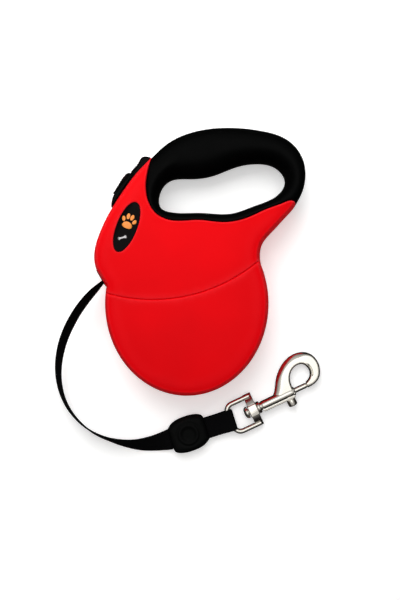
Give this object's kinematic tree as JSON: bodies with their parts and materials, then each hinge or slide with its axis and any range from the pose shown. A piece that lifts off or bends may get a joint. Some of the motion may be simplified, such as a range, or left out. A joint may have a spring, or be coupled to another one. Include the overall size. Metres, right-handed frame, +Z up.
{
  "type": "retractable leash",
  "caption": "Retractable tape leash: red oval casing with a rubber hand loop, thumb brake, sprung reel, and black tape ending in a swivel bolt snap.",
  "frame": {"origin": "on the flat rear face that the leash lies on, at the reel's axis", "axes": "+Z up out of the casing's front face along the reel's axis, +Y from the reel towards the hand grip, +X to the right seen from the front"},
  "size_m": [0.1816, 0.2205, 0.0345],
  "materials": {
    "red_shell": "satin moulded ABS",
    "grip_rubber": "fine matt overmoulded rubber",
    "badge": "glossy domed plate",
    "black_plastic": "satin moulded plastic",
    "cover_rubber": "satin moulded rubber",
    "webbing": "woven nylon tape",
    "reel_plastic": "plain moulded acetal",
    "steel": "zinc plated",
    "spring_steel": "oiled spring steel",
    "nickel": "bright nickel plate"
  },
  "bodies": {
    "casing": {"front_shell": "red_shell", "rear_shell": "red_shell", "front_grip": "grip_rubber", "rear_grip": "grip_rubber", "front_badge": "badge", "rear_badge": "badge", "casing_screws": "steel", "axle": "steel", "reel_washers": "steel", "tape_mouth": "black_plastic", "guide_pins": "steel", "tape_lead": "webbing", "free_tape": "webbing", "tape_twist": "webbing", "end_cover_top": "cover_rubber", "end_cover_bottom": "cover_rubber", "tape_loop": "webbing", "brake_guide_pins": "steel", "brake_spring": "spring_steel"},
    "reel": {"reel": "reel_plastic", "reel_flange": "reel_plastic", "spring_cover": "reel_plastic", "power_spring": "spring_steel", "wound_tape": "webbing", "tape_anchor_pin": "steel"},
    "brake": {"brake_button": "black_plastic", "brake_pawl": "reel_plastic", "lock_detent": "spring_steel"},
    "lock": {"lock_slider": "black_plastic"},
    "loop": {"swivel_loop": "nickel"},
    "hook": {"hook_body": "nickel", "stem_rivet": "nickel", "bolt_spring": "spring_steel"},
    "bolt": {"hook_bolt": "nickel", "bolt_knob": "nickel"}
  },
  "joints": [
    {"name": "reel_spin", "type": "hinge", "parent": "casing", "child": "reel", "pos_m": [0, 0, 0.017], "axis": [0, 0, 1], "range_deg": [-240, 7500], "deforming": ["power_spring"]},
    {"name": "brake_press", "type": "slide", "parent": "casing", "child": "brake", "axis": [0.5, -0.866, 0], "range_m": [0, 0.004], "stiffness_N_per_m": 900, "springref_m": -0.002, "deforming": ["brake_spring"]},
    {"name": "lock_slide", "type": "slide", "parent": "brake", "child": "lock", "axis": [-0.6087, -0.7934, 0], "range_m": [0, 0.004]},
    {"name": "loop_pivot", "type": "hinge", "parent": "casing", "child": "loop", "pos_m": [0.0302, -0.0781, 0.0044], "axis": [-0.4226, 0.9063, 0], "range_deg": [-75, 75]},
    {"name": "hook_swivel", "type": "hinge", "parent": "loop", "child": "hook", "pos_m": [0.0302, -0.0781, 0.0044], "axis": [0.9063, 0.4226, 0], "continuous": true},
    {"name": "bolt_slide", "type": "slide", "parent": "hook", "child": "bolt", "axis": [-0.9063, -0.4226, 0], "range_m": [0, 0.0085], "stiffness_N_per_m": 250, "springref_m": -0.002, "deforming": ["bolt_spring"]}
  ]
}
